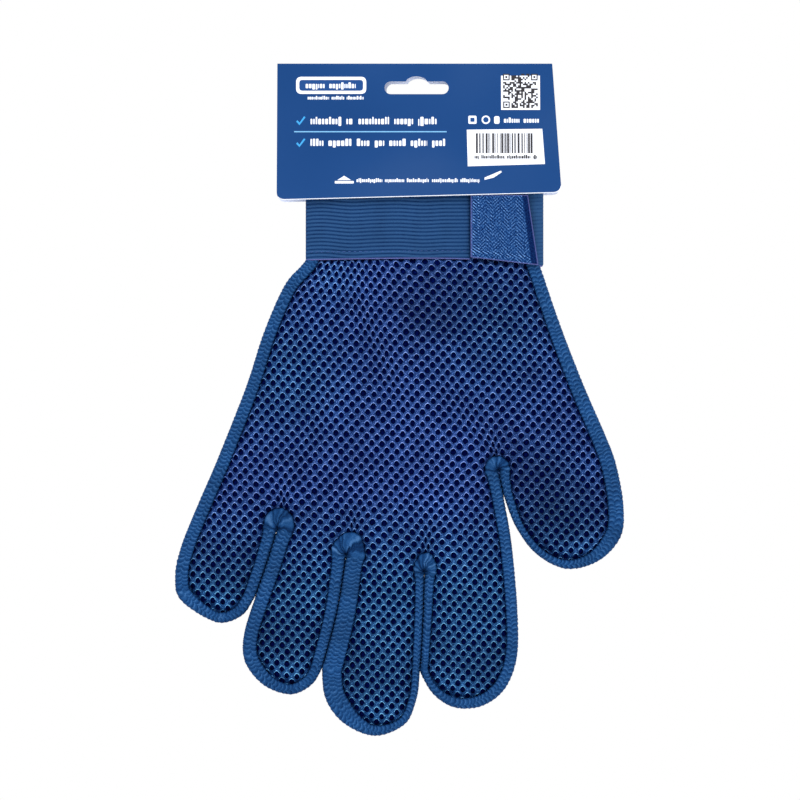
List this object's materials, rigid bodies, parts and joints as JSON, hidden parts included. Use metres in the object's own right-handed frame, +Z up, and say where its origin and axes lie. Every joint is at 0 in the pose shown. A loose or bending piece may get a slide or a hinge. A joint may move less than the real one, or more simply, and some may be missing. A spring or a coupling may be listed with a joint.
{
  "type": "five-finger pet grooming glove",
  "caption": "Five-finger pet grooming glove: spacer-mesh back, ribbed edge binding, rubber bristle palm, elastic cuff with a hook-and-loop tab, folded header card.",
  "frame": {"origin": "centre of the wrist opening, at the top edge of the cuff", "axes": "+Z up towards the wrist with the fingers hanging down, +X towards the thumb side, +Y out of the bristled palm side"},
  "size_m": [0.197, 0.0208, 0.2953],
  "materials": {
    "spacer_mesh": "3-D spacer mesh with round holes",
    "edge_binding": "ribbed knitted tape",
    "palm_fabric": "smooth knitted fabric",
    "rubber_pads": "soft moulded rubber, satin",
    "ribbed_elastic": "woven elastic with cross ribs",
    "fuzzy_tape": "speckled loop pile",
    "hook_tape": "hook tape",
    "printed_card": "printed and varnished card"
  },
  "bodies": {
    "palm": {"crotch_binding_index_thumb": "edge_binding", "crotch_binding_little_ring": "edge_binding", "crotch_binding_middle_index": "edge_binding", "crotch_binding_ring_middle": "edge_binding", "cuff_elastic_back": "ribbed_elastic", "cuff_elastic_palm": "ribbed_elastic", "palm_binding_little_side": "edge_binding", "palm_binding_thumb_side": "edge_binding", "palm_bristle_pad": "rubber_pads", "palm_fabric": "palm_fabric", "palm_mesh": "spacer_mesh", "rear_band_loop_tape": "fuzzy_tape"},
    "little_base": {"little_base_binding_left": "edge_binding", "little_base_binding_right": "edge_binding", "little_base_bristle_pad": "rubber_pads", "little_base_mesh": "spacer_mesh", "little_base_palm_fabric": "palm_fabric"},
    "little_tip": {"little_tip_binding": "edge_binding", "little_tip_bristle_pad": "rubber_pads", "little_tip_mesh": "spacer_mesh", "little_tip_palm_fabric": "palm_fabric"},
    "ring_base": {"ring_base_binding_left": "edge_binding", "ring_base_binding_right": "edge_binding", "ring_base_bristle_pad": "rubber_pads", "ring_base_mesh": "spacer_mesh", "ring_base_palm_fabric": "palm_fabric"},
    "ring_tip": {"ring_tip_binding": "edge_binding", "ring_tip_bristle_pad": "rubber_pads", "ring_tip_mesh": "spacer_mesh", "ring_tip_palm_fabric": "palm_fabric"},
    "middle_base": {"middle_base_binding_left": "edge_binding", "middle_base_binding_right": "edge_binding", "middle_base_bristle_pad": "rubber_pads", "middle_base_mesh": "spacer_mesh", "middle_base_palm_fabric": "palm_fabric"},
    "middle_tip": {"middle_tip_binding": "edge_binding", "middle_tip_bristle_pad": "rubber_pads", "middle_tip_mesh": "spacer_mesh", "middle_tip_palm_fabric": "palm_fabric"},
    "index_base": {"index_base_binding_left": "edge_binding", "index_base_binding_right": "edge_binding", "index_base_bristle_pad": "rubber_pads", "index_base_mesh": "spacer_mesh", "index_base_palm_fabric": "palm_fabric"},
    "index_tip": {"index_tip_binding": "edge_binding", "index_tip_bristle_pad": "rubber_pads", "index_tip_mesh": "spacer_mesh", "index_tip_palm_fabric": "palm_fabric"},
    "thumb": {"thumb_binding": "edge_binding", "thumb_bristle_pad": "rubber_pads", "thumb_mesh": "spacer_mesh", "thumb_palm_fabric": "palm_fabric"},
    "closure_tab": {"tab_elastic": "ribbed_elastic", "tab_fuzzy_patch": "fuzzy_tape", "tab_hook_tape": "hook_tape"},
    "header_card": {"header_card": "printed_card"}
  },
  "joints": [
    {"name": "little_knuckle", "type": "hinge", "parent": "palm", "child": "little_base", "pos_m": [-0.0826, 0.0036, -0.1612], "axis": [0.9871, 0, -0.1604], "range_deg": [-8, 60]},
    {"name": "little_middle_joint", "type": "hinge", "parent": "little_base", "child": "little_tip", "pos_m": [-0.08842, 0.0036, -0.18138], "axis": [0.9871, 0, -0.1604], "range_deg": [-8, 60]},
    {"name": "ring_knuckle", "type": "hinge", "parent": "palm", "child": "ring_base", "pos_m": [-0.0495, 0.0036, -0.171], "axis": [0.9871, 0, -0.1604], "range_deg": [-8, 60]},
    {"name": "ring_middle_joint", "type": "hinge", "parent": "ring_base", "child": "ring_tip", "pos_m": [-0.05679, 0.0036, -0.20113], "axis": [0.9871, 0, -0.1604], "range_deg": [-8, 60]},
    {"name": "middle_knuckle", "type": "hinge", "parent": "palm", "child": "middle_base", "pos_m": [-0.017, 0.0036, -0.18], "axis": [0.9871, 0, -0.1604], "range_deg": [-8, 60]},
    {"name": "middle_middle_joint", "type": "hinge", "parent": "middle_base", "child": "middle_tip", "pos_m": [-0.02168, 0.0036, -0.21569], "axis": [0.9871, 0, -0.1604], "range_deg": [-8, 60]},
    {"name": "index_knuckle", "type": "hinge", "parent": "palm", "child": "index_base", "pos_m": [0.0205, 0.0036, -0.1815], "axis": [0.9871, 0, -0.1604], "range_deg": [-8, 60]},
    {"name": "index_middle_joint", "type": "hinge", "parent": "index_base", "child": "index_tip", "pos_m": [0.0205, 0.0036, -0.2105], "axis": [0.9871, 0, -0.1604], "range_deg": [-8, 60]},
    {"name": "thumb_knuckle", "type": "hinge", "parent": "palm", "child": "thumb", "pos_m": [0.0584, 0.0036, -0.1347], "axis": [0.9682, 0, 0.2501], "range_deg": [-8, 60]},
    {"name": "tab_fold", "type": "hinge", "parent": "palm", "child": "closure_tab", "pos_m": [0.0203, -0.0093, -0.031], "axis": [0, 0, -1], "range_deg": [0, 150]},
    {"name": "card_lift", "type": "slide", "parent": "palm", "child": "header_card", "axis": [0, 0, 1], "range_m": [0, 0.09]}
  ]
}
